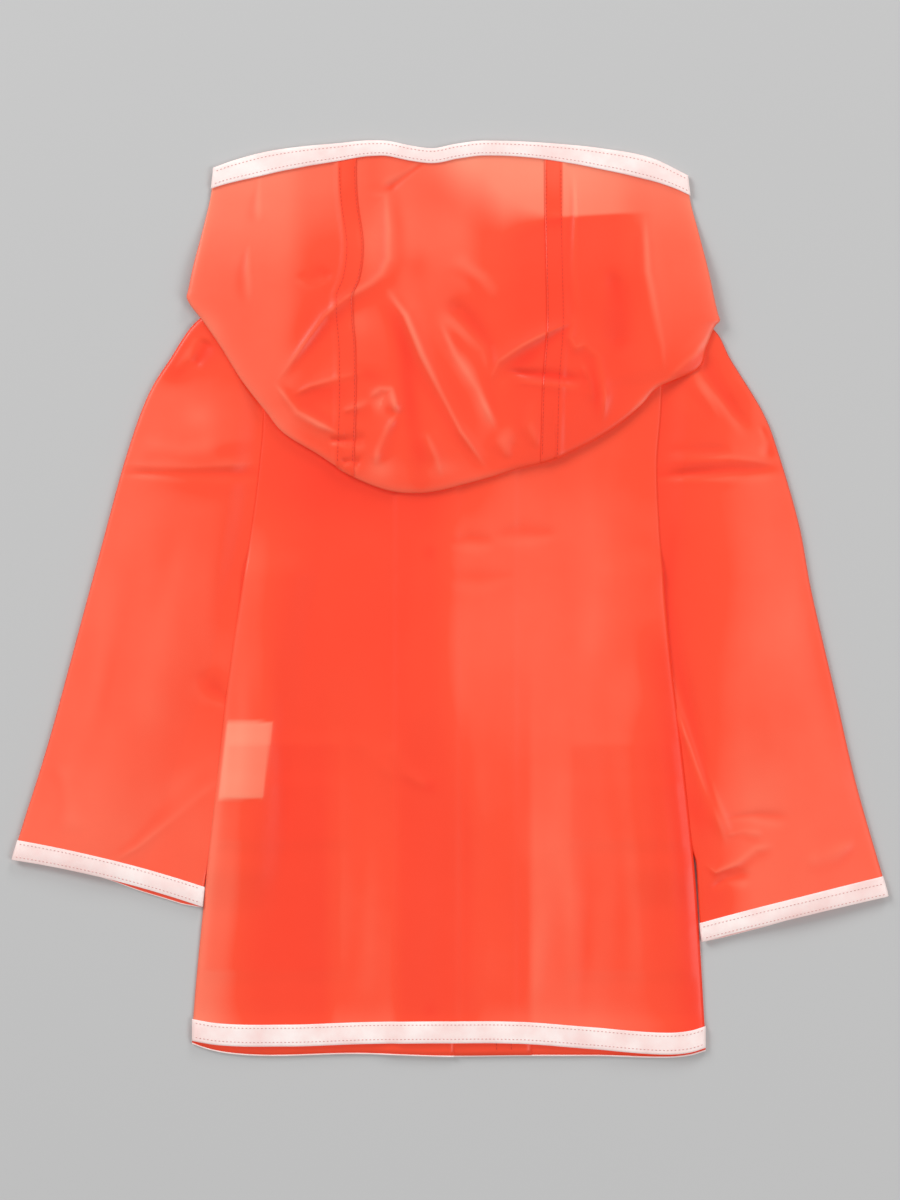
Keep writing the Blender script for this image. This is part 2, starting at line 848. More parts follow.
@dataclass
class Body:
    """Back, fronts, facing, pockets, label, hem tapes and snaps."""

    shape: BodyShape
    finish: Finishes
    tape_width: float = 16.0
    snap_x: float = -15.0
    snaps: tuple[float, ...] = (-297.0, -140.0, 35.0, 196.0)
    snap_marks: tuple[float, ...] = (-307.0, -140.0, 35.0)
    folds: tuple[Fold, ...] = (
        Fold(((-4, 43), (16, 46), (36, 44)), -0.8, 5.0),
        Fold(((30, 49), (56, 52), (84, 50)), -0.8, 5.5),
        Fold(((-6, 19), (20, 17), (52, 19)), -0.5, 6.0),
        Fold(((-48, -106), (-34, -128), (-14, -142)), 0.8, 7.0),
        Fold(((-74, -100), (-56, -118), (-40, -136)), 0.5, 6.0),
        Fold(((-50, -60), (-58, -190), (-62, -316)), 0.5, 14.0),
        Fold(((17, -120), (20, -220), (15, -316)), 0.45, 9.0),
        Fold(((62, -150), (66, -240), (61, -318)), 1.0, 13.0),
        Fold(((98, -100), (104, -220), (100, -320)), -0.8, 13.0),
        Fold(((150, -60), (162, -180), (170, -300)), 0.9, 9.0),
        Fold(((128, -30), (134, -150), (142, -310)), 0.6, 14.0),
        Fold(((-152, -20), (-160, -180), (-171, -310)), 0.5, 9.0),
        Fold(((-120, 60), (-128, -60), (-126, -200)), -0.9, 14.0),
        Fold(((-20, 60), (-24, -40), (-18, -120)), 0.8, 16.0),
        Fold(((100, 90), (108, 20), (104, -60)), 0.35, 20.0),
    )

    def back_height(self, x: Array, y: Array) -> Array:
        """Return the back panel's height with its folds.

        Args:
            x: places across the jacket, in mm.
            y: places along the jacket, in mm.

        Returns:
            The height in mm.
        """
        calm = smooth(self.shape.from_side(x, y), 0, 12)
        hood = 1.0 - smooth(y, 90, 125)
        own = fold_height(self.folds, x, y) + ripple(x, y, 1.0) * 0.7
        hanging = np.sin(x * 0.11 + np.sin(x * 0.05) * 1.5) * 0.22 * (1.0 - smooth(y, -260, -60))
        return self.shape.back_lift(x, y) + 0.9 + (np.maximum(own + hanging, -0.8)) * calm * hood

    def back_tone(self, x: Array, y: Array) -> Array:
        """Return what shows through the back: laps, pockets and label.

        Args:
            x: places across the jacket, in mm.
            y: places along the jacket, in mm.

        Returns:
            Pale above 0, deep below 0.
        """
        from_left = x - self.shape.left(y)
        low = 1.0 - smooth(y, -230, 0)
        lap = -8.0 + 18.0 * (1.0 - smooth(y, -180, -30))
        base = -0.34 + 0.5 * smooth(x - lap, -14, 20) - 0.12 * smooth(x, 100, 150)
        base = base - 0.18 * band(x, 14, 57, 7) * (1.0 - smooth(y, -200, 0))
        between = 0.38 * band(x, -84, -46, 14) * low
        past_right = x - self.shape.right(y)
        edge = -0.5 * smooth(past_right, -30, -4) * band(y, -330, -50, 40)
        shade = -0.2 * smooth(past_right, -50, -20) * band(y, -320, -110, 40)
        strip = (0.44 + 0.4 * low) * (1.0 - smooth(from_left, -2, 56))
        pocket = np.where(x < 0, -0.11, -0.035) * self.shape.pocket_at(x, y, self.shape.pocket_low, -110)
        mouth = np.where(x < 0, -0.05, -0.02) * self.shape.pocket_at(x, y, self.shape.flap_low, -110)
        label = 0.8 * self.shape.label_at(x, y)
        under_hood = -0.1 * smooth(y, 50, 110) - 0.3 * smooth(y, 40, 90) * (1 - smooth(x, 0, 50))
        hem = 0.16 * (1.0 - smooth(y, -322, -296))
        snaps = np.zeros(np.shape(x))
        for at in self.snap_marks:
            snaps = snaps - 0.25 * np.exp(-(((x - self.snap_x) ** 2 + (y - at) ** 2) / 26.0))
        total = base + between + edge + shade + strip + pocket + mouth + label + under_hood + hem + snaps
        return total + marks(self.folds, x, y)

    def front_height(self, layers: float) -> Height:
        """Return the height of a front that lies on others where the fronts lap.

        Args:
            layers: how many layers' pitches it rises at the lap.

        Returns:
            A function of x and y that gives the height in mm.
        """
        lap = Edge((-194, 0), (-62, 0), (-40, 1), (60, 1))
        return lambda x, y: self.shape.under_front(x, y) + layers * self.shape.pitch * lap(x)

    def facing_height(self, x: Array, y: Array) -> Array:
        """Return the height of the facing."""
        return self.shape.under_front(x, y) + self.shape.pitch * 0.8

    def build(self) -> None:
        """Build every piece of the body."""
        self.build_back()
        self.build_fronts()
        self.build_pockets()
        self.build_label()
        self.build_hem_tapes()
        self.build_snaps()

    def build_back(self) -> None:
        """Build the back panel."""
        piece = Piece("back_cloth", ("back_panel",), "shell", self.finish.cloth)
        grid = self.shape.grid(self.shape.back_hem, self.back_height, (None, None), (230, 170))
        made = piece.sheet(grid, self.back_tone(grid[..., 0], grid[..., 1]))

    def build_fronts(self) -> None:
        """Build the two fronts and the facing."""
        s = self.shape
        left = Piece("front_cloth_left", ("front_left",), "shell", self.finish.cloth)
        made = left.sheet(s.grid(s.front_hem, self.front_height(1.6), (None, s.overlap), (130, 60)))
        right = Piece("front_cloth_right", ("front_right",), "shell", self.finish.cloth)
        made = right.sheet(s.grid(s.front_hem, s.under_front, (s.underlap, None), (130, 66)))
        facing = Piece("facing_cloth", ("front_facing",), "shell", self.finish.cloth)
        across = (s.underlap, s.facing + 14)
        made = facing.sheet(s.grid(s.front_hem, self.facing_height, across, (120, 24)))
        y = np.linspace(-340, 190, 120)
        rows = [points_at(np.full_like(y, x), y, self.facing_height(x, y)) for x in (35.0, 46.0)]
        stitches = Piece("stitches_facing", (), "shell", self.finish.red_thread)
        StitchRow(pitch=3.0, long=2.2).sew(stitches, rows, 0.3)

    def build_pockets(self) -> None:
        """Build the patch pockets and their flaps under the fronts."""
        s = self.shape
        kinds = (
            ("pocket", "pocket", s.pocket_low, s.pocket_high, 0.45, 0.0, (0.092, 0.128)),
            ("flap", "pocket_flap", s.flap_low, s.flap_high, 0.9, 12.0, (0.086, 0.069)),
        )
        sides = (("left", s.left, 1, s.pocket_left), ("right", s.right, -1, s.pocket_right))
        for side, seam, sign, inner in sides:
            for what, node, low, high, drop, curve, flat in kinds:
                v, u = shares(40, 34)
                level = low + (high - low) * v
                edge = seam(level) + 7 * sign
                x = edge + (inner - edge) * u
                y = level + np.zeros_like(x) - curve * (u - 0.5) ** 2
                z = np.maximum(s.under_front(x, y) - drop, 0.25)
                piece = Piece(f"{what}_cloth_{side}", (f"{node}_{side}",), "shell", self.finish.cloth)
                made = piece.sheet(points_at(x, y, z))

    def build_label(self) -> None:
        """Build the folded care label in the side seam."""
        s = self.shape
        v, u = shares(20, 26)
        y = s.label_low + (s.label_high - s.label_low) * v + np.zeros_like(u)
        x = s.left(y) + s.label_in + s.label_wide * (1 - np.abs(u * 2 - 1))
        z = s.under_front(x, y) + s.pitch * 0.7 + np.where(u > 0.5, 0.35, 0.0) + 0.2
        piece = Piece("label_cloth", ("care_label",), "label", self.finish.label)
        made = piece.sheet(points_at(x, y, z), thick=0.15)

    def hem_strip(self, hem: Edge, height: Height, across: Limits, lift: float, down: float,
                  wrap: float, inside: float) -> tuple[Array, list[Array]]:
        """Return a tape along a hem and its two stitch lines.

        Args:
            hem: the panel's lower edge.
            height: the panel's height.
            across: left and right limit.
            lift: how far the tape stands off the panel.
            down: how far it reaches below the edge.
            wrap: the height that its edge turns through, negative downwards.
            inside: how far the turned edge reaches back up.

        Returns:
            The tape's grid, and its stitch lines.
        """
        x, y = self.shape.grid(hem, height, across, (2, 150))[0, :, :2].T
        profile = [(self.tape_width, lift), (self.tape_width - 1, lift + 0.1), (11, lift + 0.12),
                   (5, lift + 0.12), (1.2, lift + 0.1), (0.2 - down, lift), (-down, lift + wrap * 0.5),
                   (0.3 - down, lift + wrap), (inside, lift + wrap)]
        rows = [points_at(x, y + up, height(x, y + max(up, 0.0)) + rise) for up, rise in profile]
        lines = [points_at(x, y + up, height(x, y + up) + lift) for up in (2.8, self.tape_width - 2.6)]
        return np.array(rows), lines

    def build_hem_tapes(self) -> None:
        """Build the pale tapes and stitches along the hems."""
        s, f = self.shape, self.finish
        grid, lines = self.hem_strip(s.back_hem, self.back_height, (None, None), 0.7, 0.3, -1.2, 3.0)
        made = Piece("tape_back_hem", ("hem_tape_back",), "tape", f.tape).sheet(grid[::-1], thick=0.3)
        StitchRow().sew(Piece("stitches_back_hem", (), "tape", f.pale_thread), lines, 0.3)
        sides = (("left", (None, s.overlap), 1.5, 0.197), ("right", (s.underlap, None), 0.0, 0.230))
        for side, across, layers, wide in sides:
            high = self.front_height(layers)
            grid, lines = self.hem_strip(s.front_hem, high, across, -0.6, 0.85, 0.95, 0.1)
            piece = Piece(f"tape_front_hem_{side}", (f"hem_tape_front_{side}",), "tape", f.tape)
            made = piece.sheet(grid, thick=0.3)
            StitchRow().sew(Piece(f"stitches_front_hem_{side}", (), "tape", f.pale_thread), lines, -0.35)

    def build_snaps(self) -> None:
        """Build each closed snap as a turned cap with a raised rim."""
        profile = ((0, 0.25), (2.2, 0.2), (2.8, 0.0), (4.9, 0.05), (5.5, 0.4), (5.3, 0.9), (1.8, 1.0),
                   (1.8, 1.9), (5.2, 2.0), (5.4, 2.5), (4.8, 2.85), (3.0, 2.9), (2.4, 2.6), (0, 2.55))
        sides = 28
        turns = [k * math.tau / sides for k in range(sides)]
        last = (len(profile) - 1) * sides
        faces = grid_faces(len(profile), sides, True)
        faces += [tuple(reversed(range(sides))), tuple(range(last, last + sides))]
        for index, at in enumerate(self.snaps):
            points = [(self.snap_x + r * math.cos(turn), at + r * math.sin(turn), z + 0.05)
                      for r, z in profile for turn in turns]
            node = f"snap_{index + 1}"
            piece = Piece(f"press_{node}", (node,), "snap", self.finish.snap)
            piece.dress(lay_mesh(piece.name, np.array(points), faces, None))


# ---------------------------------------------------------------- the sleeves


@dataclass
class Sleeve:
    """One flattened sleeve with its cuff tape, in mm."""

    side: str
    body: BodyShape
    finish: Finishes
    outer: Line
    inner: Line
    folds: tuple[Fold, ...]
    patches: tuple[Patch, ...]
    peek: float
    bow: float
    wave: float
    upper_part: float = 0.78
    height: float = 2.7
    puff: float = 3.4
    tuck: float = 1.6

    @property
    def sign(self) -> float:
        """Return -1 on the left and 1 on the right."""
        return -1.0 if self.side == "left" else 1.0

    def seam(self, y: Array) -> Array:
        """Return the body's edge on this side."""
        return self.body.left(y) if self.side == "left" else self.body.right(y)

    def rail(self, line: Line, along: Array) -> Array:
        """Return points of an edge line.

        Args:
            line: the line's places, evenly spaced along the sleeve.
            along: shares from 0 at its first place to 1 at its last.

        Returns:
            An x and y for each share.
        """
        table = np.array(line, float)
        count = len(table) - 1
        edges = [Edge(*zip(range(count + 1), table[:, k])) for k in (0, 1)]
        return np.stack([edge(along * count) for edge in edges], axis=-1)

    def plan(self, across: Array, along: Array) -> tuple[Array, Array]:
        """Return where the flat sleeve lies, with its head tucked under the body's edge.

        Args:
            across: shares from the outer edge to the inner one.
            along: shares from the cuff to the armhole.

        Returns:
            Places across and along the jacket, in mm.
        """
        a, b = self.rail(self.outer, along), self.rail(self.inner, along)
        x, y = np.moveaxis(a + (b - a) * across[..., None], -1, 0)
        y = y + self.bow * 4 * across * (1 - across) * (1 - smooth(along, 0.0, 0.35))
        (outer_x, outer_y), (inner_x, inner_y) = self.outer[-1], self.inner[-1]
        straight = outer_x + (inner_x - outer_x) * across
        head = self.seam(outer_y + (inner_y - outer_y) * across) - self.sign * self.tuck
        x = x + (head - straight) * along**3
        limit = self.seam(y) + self.sign * (30 * (1 - along) - self.tuck)
        held = self.sign * np.maximum(self.sign * x, self.sign * limit)
        return x + (held - x) * smooth(y, 0, 26), y

    def ring(self, along: Array, grow: float, around: int = 126) -> Array:
        """Return rings of the tube.

        Args:
            along: shares from the cuff up, one for each ring.
            grow: how far out from the cloth.
            around: points in a ring.

        Returns:
            Points by ring and place round it.
        """
        turn = np.linspace(0, 1, around, endpoint=False)[None, :]
        upper = turn < self.upper_part
        share = np.where(upper, turn / self.upper_part, (1 - turn) / (1 - self.upper_part))
        t = along[:, None] + np.zeros_like(share)
        x0, y0 = self.plan(np.zeros_like(t), t)
        x1, y1 = self.plan(np.ones_like(t), t)
        wide = np.hypot(x1 - x0, y1 - y0)
        spread = 0.5 - np.cos(share * math.pi) * 0.5
        share = share * 0.75 + spread * 0.25
        across = -grow / wide + share * (1 + 2 * grow / wide)
        x, y = self.plan(across, t)
        edge = np.minimum(share, 1 - share) * wide
        round_off = 1.0 - np.exp(-edge / 1.5)
        half = self.height / 2
        swell = self.puff * np.sin(math.pi * np.clip(share * 1.45, 0, 1)) ** 1.2 * (
            0.35 + 0.65 * np.sin(math.pi * np.clip(t * 1.02, 0, 1)) ** 0.8)
        calm = smooth(share, 0.0, 0.08) * (1 - smooth(share, 0.9, 1.0) * 0.7)
        free = fold_height(self.folds, x, y) + ripple(x, y, self.wave) * 0.9
        top = half * round_off + swell + np.maximum(free, -1.0 - swell * 0.5) * calm * round_off
        z = np.where(upper, half + top + grow, half - half * round_off - grow)
        under = (1.0 - smooth(np.abs(x - self.seam(y)), 1.0, 22.0)) * smooth(y, -24, 36)
        z = z * (1 - under) + under * np.where(upper, 0.75, 0.05)
        peek = self.peek * smooth(share, 0.4, 0.72) * (1 - 0.6 * smooth(share, 0.88, 1.0))
        peek = np.where(upper, 0.0, peek * (1 - smooth(t, 0, 0.1)))
        return points_at(x, y - peek, np.maximum(z + 0.85, 0.15))

    def tone(self, grid: Array) -> Array:
        """Return light and dark over the sleeve: paler outside, deeper at the seam.

        Args:
            grid: the sleeve's points.

        Returns:
            Pale above 0, deep below 0.
        """
        x, y = grid[..., 0], grid[..., 1]
        off = np.abs(x - self.seam(y))
        if self.side == "left":
            base = 0.06 + 0.14 * smooth(off, 10, 95) - 0.22 * smooth(y, 150, 190)
        else:
            slim = 1.0 + 0.7 * (1.0 - smooth(y, -130, 20))
            base = -0.3 + 0.46 * smooth(off * slim, -8, 84)
        near = 0.15 * np.exp(-off / 7.0) * smooth(y, -60, 60)
        cuff = 0.1 * (1 - smooth(y, -190, -80))
        return base - near + cuff + marks(self.folds, x, y) + marks(self.patches, x, y)

    def build(self) -> None:
        """Build the sleeve, its cuff tape and the stitches on it."""
        along = np.linspace(0, 1, 300)
        grid = self.ring(along, 0.0)
        piece = Piece(f"sleeve_cloth_{self.side}", (f"sleeve_{self.side}",), "shell", self.finish.cloth)
        made = piece.sheet(grid, self.tone(grid), closed=True)
        self.build_cuff()

    def build_cuff(self) -> None:
        """Build the tape round the cuff, turned in at its edge."""
        top = 1.0 / (len(self.outer) - 1)
        profile = ((0.035, -0.35), (0.0, -0.1), (0.0, 0.35), (0.03, 0.55), (0.5, 0.6), (0.97, 0.55),
                   (1.0, 0.4))
        grid = np.concatenate([self.ring(np.array([top * share]), grow) for share, grow in profile])
        piece = Piece(f"tape_cuff_{self.side}", (f"cuff_tape_{self.side}",), "tape", self.finish.tape)
        made = piece.sheet(grid, thick=0.3, closed=True)
        lines = []
        for share in (0.17, 0.84):
            ring = self.ring(np.array([top * share]), 0.62)[0]
            split = int(len(ring) * self.upper_part)
            lines += [ring[:split], ring[split:]]
        stitches = Piece(f"stitches_cuff_{self.side}", (), "tape", self.finish.pale_thread)
        StitchRow().sew(stitches, lines, 0.12)


LEFT_SLEEVE_OUTER = (
    (-328, -194.6), (-323.6, -180), (-318, -162), (-300, -104), (-275, -11), (-261, 42), (-244.5, 104),
    (-229, 150), (-213, 178.5), (-188, 212.6), (-146, 223),
)
LEFT_SLEEVE_INNER = (
    (-185.6, -229.8), (-184.0, -215), (-181.6, -204), (-178, -194), (-170, -164), (-159, -140),
    (-148, -100), (-144, -60), (-142, -30), (-145, -8), (-155.6, 12),
)
LEFT_SLEEVE_FOLDS = (
    Fold(((-250, 103), (-222, 101), (-190, 100), (-165, 101), (-134, 103)), 0.9, 3.8, CREASE),
    Fold(((-250, 96), (-200, 94), (-160, 95), (-130, 97)), -1.5, 4.2),
    Fold(((-232, 118), (-200, 112), (-170, 116)), 0.7, 9.0),
    Fold(((-181, 196), (-186, 186), (-191, 174)), -2.0, 6.0),
    Fold(((-176, 200), (-196, 184), (-208, 168)), 1.2, 7.0),
    Fold(((-190, -54), (-178, -66), (-164, -79)), -1.0, 6.0),
    Fold(((-168, -131), (-190, -148), (-206, -162), (-234, -185), (-256, -198)), 0.9, 6.5, CREASE),
    Fold(((-196, 60), (-214, -20), (-232, -110)), 0.5, 16.0),
    Fold(((-232, 40), (-250, -40), (-270, -130)), -0.5, 14.0),
    Fold(((-290, -120), (-284, -150), (-282, -176)), 0.5, 9.0),
)
LEFT_SLEEVE_PATCHES = (
    Patch(-184, 184, 8, 12, -0.45, -40),
    Patch(-205, 171, 11, 9, -0.35),
    Patch(-188, 138, 14, 12, 0.16),
    Patch(-166, 112, 16, 6, -0.2, 10),
    Patch(-180, 88, 46, 12, -0.2),
    Patch(-166, 20, 12, 50, -0.16, -8),
    Patch(-176, -64, 10, 12, -0.3),
    Patch(-220, -20, 30, 40, 0.06),
    Patch(-200, -140, 20, 14, 0.1, 40),
)
RIGHT_SLEEVE_OUTER = (
    (328, -222), (324, -207), (304.5, -139), (289.5, -74), (271.5, 4), (262, 56), (247.5, 108),
    (236, 140), (213, 179), (199, 204), (164, 221),
)
RIGHT_SLEEVE_INNER = (
    (188.9, -256), (187.2, -242), (184.9, -206), (182.6, -192), (170, -164), (161, -140),
    (152, -100), (148, -60), (146, -30), (149, -8), (160.8, 12),
)
RIGHT_SLEEVE_FOLDS = (
    Fold(((146, 103), (180, 105), (205, 107), (228, 105), (246, 101)), 1.2, 4.2, CREASE),
    Fold(((144, 93), (182, 95), (214, 97), (250, 98)), -2.1, 4.2),
    Fold(((146, 88), (186, 89), (222, 93)), 0.6, 3.6, CREASE),
    Fold(((158, 113), (186, 112), (214, 111)), -1.2, 4.5),
    Fold(((187, 190), (196, 168), (214, 140), (229, 124)), -2.6, 7.5),
    Fold(((176, 186), (190, 156), (204, 132)), 1.2, 7.0),
    Fold(((233, 132), (240, 118), (240, 104)), -1.6, 4.0),
    Fold(((161, 12), (168, -40), (180, -86), (194, -138), (203, -168)), -2.6, 7.0),
    Fold(((168, -78), (184, -124), (196, -152), (208, -184)), 2.4, 4.2, CREASE),
    Fold(((190, -118), (200, -148), (212, -180)), 1.5, 4.0, CREASE),
    Fold(((189, -196), (199, -204), (215, -197), (229, -186), (243, -183)), 2.0, 4.0, CREASE),
    Fold(((196, -216), (208, -208), (226, -206)), -1.4, 4.0),
    Fold(((204, -163), (228, -161), (256, -163)), -0.9, 4.0),
    Fold(((206, -176), (220, -173), (236, -175)), 0.8, 4.0, CREASE),
    Fold(((214, 60), (234, -30), (252, -120)), 0.15, 18.0),
    Fold(((262, 40), (282, -60), (300, -150)), -0.4, 12.0),
    Fold(((264, -196), (286, -190), (304, -180)), 0.8, 6.0),
)
RIGHT_SLEEVE_PATCHES = (
    Patch(176, 150, 14, 14, 0.16),
    Patch(215, 150, 8, 14, -0.3, 35),
    Patch(200, 99, 44, 7, -0.3),
    Patch(162, 0, 7, 60, -0.35, -6),
    Patch(184, -158, 8, 26, -0.4, 20),
    Patch(200, -222, 14, 14, -0.2),
    Patch(230, -150, 26, 22, 0.1),
    Patch(250, -20, 24, 60, 0.08),
)


# ---------------------------------------------------------------- the hood


@dataclass
class Hood:
    """The folded-back hood: three panels with lapped seams, its lower layer and edge tape."""

    finish: Finishes
    fold_left: Edge = Edge(
        (97, -80), (101, -86.5), (108, -97), (125, -124.5), (140, -137), (163, -155), (190, -172),
        (209, -185), (222, -195), (227, -197), (231, -196), (248, -192.5), (276, -185.5), (308, -178.5),
        (345, -176))
    fold_right: Edge = Edge(
        (106, 80), (111, 90), (119, 106), (131, 125), (146, 143), (160.5, 157.5), (165, 168),
        (172, 184), (190, 192), (206, 199), (209, 202), (214, 200.5), (248, 193), (276, 186),
        (303, 179.5), (345, 177))
    seam_left: Edge = Edge(
        (90, -79), (105, -78.5), (149, -77), (192, -77.5), (210, -79), (226, -79.5), (240, -74.5),
        (264, -71.5), (300, -76), (320, -77), (345, -77))
    seam_right: Edge = Edge(
        (90, 74), (105, 74.5), (163, 76), (210, 79), (266, 78), (318, 77.5), (345, 77.5))
    top_edge: Edge = Edge(
        (-179, 322.5), (-162, 328.5), (-137, 335), (-110, 339), (-85, 341.3), (-60, 343.6), (-47, 343.3),
        (-28, 339.5), (-13.5, 337.8), (4, 341), (26, 343.5), (55, 342.8), (81, 341), (110, 338),
        (151.5, 330), (176, 318.5), (180, 316.5))
    low_edge: Edge = Edge(
        (-90, 104), (-84, 98.5), (-66, 89), (-50, 83), (-38, 80.5), (-24, 80), (-8, 82), (8, 86), (30, 92),
        (52.5, 99), (70, 103), (90, 110))
    lap: float = 6.6
    tape_width: float = 16.0
    folds: tuple[Fold, ...] = (
        Fold(((-62, 304), (-48, 303), (-46, 276), (-46, 255), (-51, 244), (-59, 237), (-79, 225),
              (-94, 212), (-115, 183), (-132, 161)), 2.9, 6.0, CREASE, -1.0),
        Fold(((-49, 236), (-42, 225), (-33, 212), (-21, 183), (-8, 157), (8, 126), (28, 98)),
             4.2, 6.5, STEP),
        Fold(((-8, 209), (4, 183), (14, 168), (21, 157), (34, 128)), 2.4, 5.5, CREASE, -1.0),
        Fold(((30, 160), (31, 167), (36, 178), (54, 190), (75, 201), (95, 210)), 3.4, 6.0, STEP),
        Fold(((42, 171), (58, 169), (76, 168), (100, 163)), -2.0, 4.5),
        Fold(((46, 163), (70, 161), (99, 159)), 1.1, 4.0, CREASE),
        Fold(((93, 214), (90, 196), (94, 189), (101, 191), (111, 182), (116, 153), (114, 130)),
             2.8, 5.0, CREASE),
        Fold(((98, 178), (104, 165), (106, 148)), 1.8, 4.0, CREASE),
        Fold(((-61, 151), (-52, 158), (-44, 157), (-39, 137)), 3.0, 5.0, CREASE),
        Fold(((-39, 140), (-47, 128), (-54, 112), (-56, 100)), 2.4, 5.0, CREASE, -1.0),
        Fold(((-120, 152), (-104, 160), (-84, 166), (-62, 171)), 1.9, 4.5, CREASE),
        Fold(((-131, 162), (-122, 150), (-114, 140), (-98, 131), (-82, 124)), 3.0, 5.0, CREASE, -1.0),
        Fold(((-82, 140), (-66, 146), (-60, 150)), 1.6, 4.5, CREASE),
        Fold(((-142, 320), (-143, 300), (-143, 280)), 1.2, 4.0, CREASE),
        Fold(((-150, 268), (-151, 245), (-150, 220)), 1.4, 4.5, CREASE),
        Fold(((146, 292), (148, 245), (154, 215), (159, 191), (161, 168)), 1.9, 5.5, CREASE),
        Fold(((200, 207), (184, 184), (162, 165)), 1.7, 5.0, CREASE, -1.0),
        Fold(((93, 322), (94.5, 287), (93, 247), (96, 212)), 2.0, 4.0, CREASE),
        Fold(((-18, 329), (-34, 317), (-50, 305)), -1.6, 3.5),
        Fold(((-116, 243), (-104, 240), (-96, 244), (-86, 241)), -1.2, 5.0),
        Fold(((-4, 226), (14, 208), (29, 190), (34, 168)), -2.2, 7.0),
        Fold(((2, 258), (24, 240), (40, 222)), 1.3, 9.0),
        Fold(((118, 250), (130, 218), (126, 180)), -1.8, 11.0),
        Fold(((-20, 128), (-10, 106), (-6, 92)), 1.7, 6.0, CREASE),
        Fold(((48, 132), (40, 118), (44, 104)), 1.3, 6.0),
        Fold(((64, 150), (60, 130), (66, 112)), 1.2, 6.0),
        Fold(((-92, 120), (-76, 119), (-62, 121)), -2.2, 4.0),
        Fold(((-82, 103), (-72, 104), (-66, 102)), -1.8, 3.5),
    )
    patches: tuple[Patch, ...] = (
        Patch(-98, 204, 18, 30, -0.3, -35),
        Patch(-92, 262, 20, 34, -0.14),
        Patch(-60, 265, 10, 26, 0.2),
        Patch(-70, 208, 16, 14, 0.18),
        Patch(-96, 153, 24, 9, -0.45, 8),
        Patch(-60, 168, 12, 6, -0.35, -20),
        Patch(-50, 148, 8, 9, 0.5, 20),
        Patch(-31, 158, 8, 58, -0.62, 7),
        Patch(-25, 250, 12, 14, -0.16),
        Patch(-22, 104, 8, 16, -0.2),
        Patch(-52, 98, 12, 10, 0.3),
        Patch(2, 160, 6, 44, -0.14, 26),
        Patch(13, 172, 8, 20, 0.34, 28),
        Patch(27, 142, 6, 18, 0.3, 25),
        Patch(20, 208, 9, 26, -0.3, 35),
        Patch(74, 168, 24, 5, -0.5, -3),
        Patch(58, 180, 16, 7, -0.25, 20),
        Patch(40, 166, 7, 12, 0.2),
        Patch(50, 124, 34, 24, 0.2),
        Patch(96, 200, 7, 16, 0.2),
        Patch(124, 216, 16, 32, -0.3),
        Patch(108, 160, 7, 20, -0.2, 6),
        Patch(146, 142, 10, 9, 0.3, 40),
        Patch(188, 176, 16, 9, -0.25, 40),
        Patch(-180, 206, 16, 9, 0.15, -50),
        Patch(-10, 98, 20, 8, 0.2),
    )

    def from_edge(self, x: Array, y: Array) -> Array:
        """Return the rough distance in from the hood's folded outline.

        Args:
            x: places across the jacket, in mm.
            y: places along the jacket, in mm.

        Returns:
            The distance in mm.
        """
        side = np.minimum(x - self.fold_left(y), self.fold_right(y) - x) * 0.8
        inner = np.abs(x) < 79
        low = y - self.low_edge(x)
        return np.where(inner, np.minimum(np.maximum(low, 0), 400), np.maximum(side, 0))

    def top_height(self, x: Array, y: Array) -> Array:
        """Return the height of the hood's upper layer.

        Args:
            x: places across the jacket, in mm.
            y: places along the jacket, in mm.

        Returns:
            The height in mm.
        """
        onto = 1.0 - smooth(y, 236, 300)
        flat = 1.3 + 6.6 * onto
        edge = self.from_edge(x, y)
        roll = 1.7 * np.exp(-edge / 2.0) * onto
        swell = 1.6 * smooth(edge, 0, 45) * (0.35 + 0.65 * onto)
        near_tape = smooth(self.top_edge(x) - y, 4, 26)
        folds = fold_height(self.folds, x, y) + ripple(x, y, 2.5) * 1.1
        return flat - roll + swell + np.maximum(folds, -2.0) * smooth(edge, 0, 10) * near_tape

    def tone(self, x: Array, y: Array) -> Array:
        """Return light where one layer lies on the floor and dark where layers lie on the body.

        Args:
            x: places across the jacket, in mm.
            y: places along the jacket, in mm.

        Returns:
            Pale above 0, deep below 0.
        """
        step_y = np.where(x > 40, 284 + 0.06 * (x - 40), 284 + 0.9 * (40 - x))
        blur = 2.2 + 26 * (1 - smooth(x, 22, 84))
        single = smooth(y, step_y - blur, step_y + blur) * smooth(x, -56, 34) * (1 - smooth(x, 120, 156))
        fade = smooth(y, 262, 330)
        top = single * (0.5 + 0.42 * fade) * (1 - 0.3 * smooth(x, 84, 150))
        left = (1 - smooth(x, -100, -20)) * (0.02 + 0.4 * smooth(y, 240, 330))
        left_low = 0.22 * (1 - smooth(x, -128, -104))
        middle = 0.22 * band(x, -40, 6, 22) * smooth(y, 150, 285)
        right = smooth(x, 120, 156) * (0.22 * smooth(y, 160, 250) + 0.34 * smooth(y, 262, 325))
        low = -0.26 * smooth(x, 20, 60) * (1 - single) * (1 - smooth(x, 120, 156))
        rim = 0.3 * np.exp(-self.from_edge(x, y) / 3.5)
        seams = np.zeros(np.shape(x))
        for seam, more in ((self.seam_left, 0.16), (self.seam_right, 0.66)):
            off = np.abs(x - seam(y))
            line = np.exp(-((off - self.lap + 1.0) ** 2) / 0.6)
            depth = 0.1 + more * smooth(y, 272, 296)
            seams = seams - depth * (1 - smooth(off, self.lap - 0.6, self.lap + 0.5)) - 0.14 * line
        base = top + left + left_low + middle + right + low + rim + seams
        return base + marks(self.folds, x, y) + marks(self.patches, x, y)

